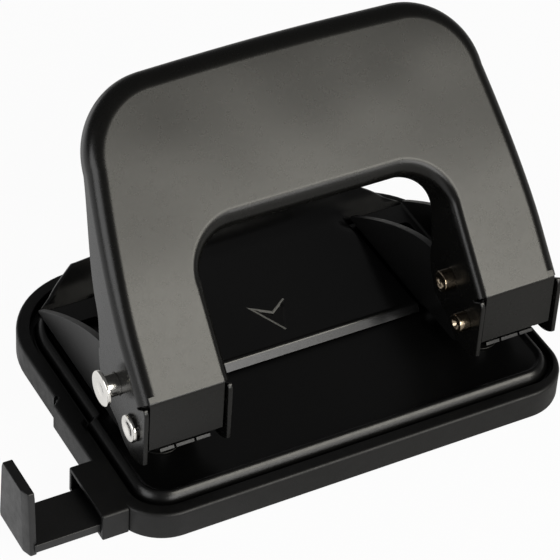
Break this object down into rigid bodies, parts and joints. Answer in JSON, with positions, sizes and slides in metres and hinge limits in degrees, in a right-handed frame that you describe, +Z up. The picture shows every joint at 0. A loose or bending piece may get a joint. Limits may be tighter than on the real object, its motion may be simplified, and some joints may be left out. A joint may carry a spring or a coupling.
{
  "type": "hole punch",
  "caption": "Desk hole punch for filing: black pressed-steel base and arch handle, spring-return punches in channel towers, plastic chip tray and a sliding paper guide.",
  "frame": {"origin": "on the underside of the chip tray, on the mid-plane, directly below the face that stops the paper", "axes": "+X along the width to the user's right, +Y to the rear, +Z up"},
  "size_m": [0.1308, 0.0805, 0.0795],
  "materials": {
    "black_steel": "gloss black paint",
    "handle_steel": "satin black paint",
    "bright_steel": "bright zinc or nickel plate",
    "tool_steel": "ground tool steel",
    "black_plastic": "fine-textured matt"
  },
  "bodies": {
    "base": {"base_plate": "black_steel", "bridge": "black_steel", "tower_left": "handle_steel", "tower_right": "handle_steel", "punch_guide_left": "bright_steel", "punch_guide_right": "bright_steel", "die_left": "tool_steel", "die_right": "tool_steel", "pivot_pin_left": "bright_steel", "pivot_pin_right": "bright_steel", "tower_rivet_left_inner": "bright_steel", "tower_rivet_left_outer": "bright_steel", "tower_rivet_right_inner": "bright_steel", "tower_rivet_right_outer": "bright_steel", "punch_spring_left": "bright_steel", "punch_spring_right": "bright_steel"},
    "handle": {"handle": "handle_steel", "drive_pin": "bright_steel"},
    "lock_pin": {"lock_pin": "bright_steel", "lock_pin_clip": "bright_steel"},
    "punch_left": {"punch_left": "tool_steel"},
    "punch_right": {"punch_right": "tool_steel"},
    "chip_tray": {"chip_tray": "black_plastic"},
    "paper_guide": {"paper_guide": "black_plastic"}
  },
  "joints": [
    {"name": "handle_hinge", "type": "hinge", "parent": "base", "child": "handle", "pos_m": [0, -0.0204, 0.022], "axis": [-1, 0, 0], "range_deg": [0, 50], "stiffness_Nm_per_rad": 0.3, "springref_deg": -45.84},
    {"name": "lock_slide", "type": "slide", "parent": "handle", "child": "lock_pin", "axis": [1, 0, 0], "range_m": [0, 0.0028]},
    {"name": "punch_left_slide", "type": "slide", "parent": "base", "child": "punch_left", "axis": [0, 0, -1], "range_m": [0, 0.0081], "deforming": ["punch_spring_left"]},
    {"name": "punch_right_slide", "type": "slide", "parent": "base", "child": "punch_right", "axis": [0, 0, -1], "range_m": [0, 0.0081], "deforming": ["punch_spring_right"]},
    {"name": "tray_hinge", "type": "hinge", "parent": "base", "child": "chip_tray", "pos_m": [0, 0.0441, 0.0074], "axis": [1, 0, 0], "range_deg": [0, 60]},
    {"name": "guide_slide", "type": "slide", "parent": "chip_tray", "child": "paper_guide", "axis": [-1, 0, 0], "range_m": [-0.014, 0.05]}
  ],
  "couplings": [
    {"joint": "punch_left_slide", "follows": "handle_hinge", "m_per_rad": 0.009225},
    {"joint": "punch_right_slide", "follows": "handle_hinge", "m_per_rad": 0.009225}
  ]
}
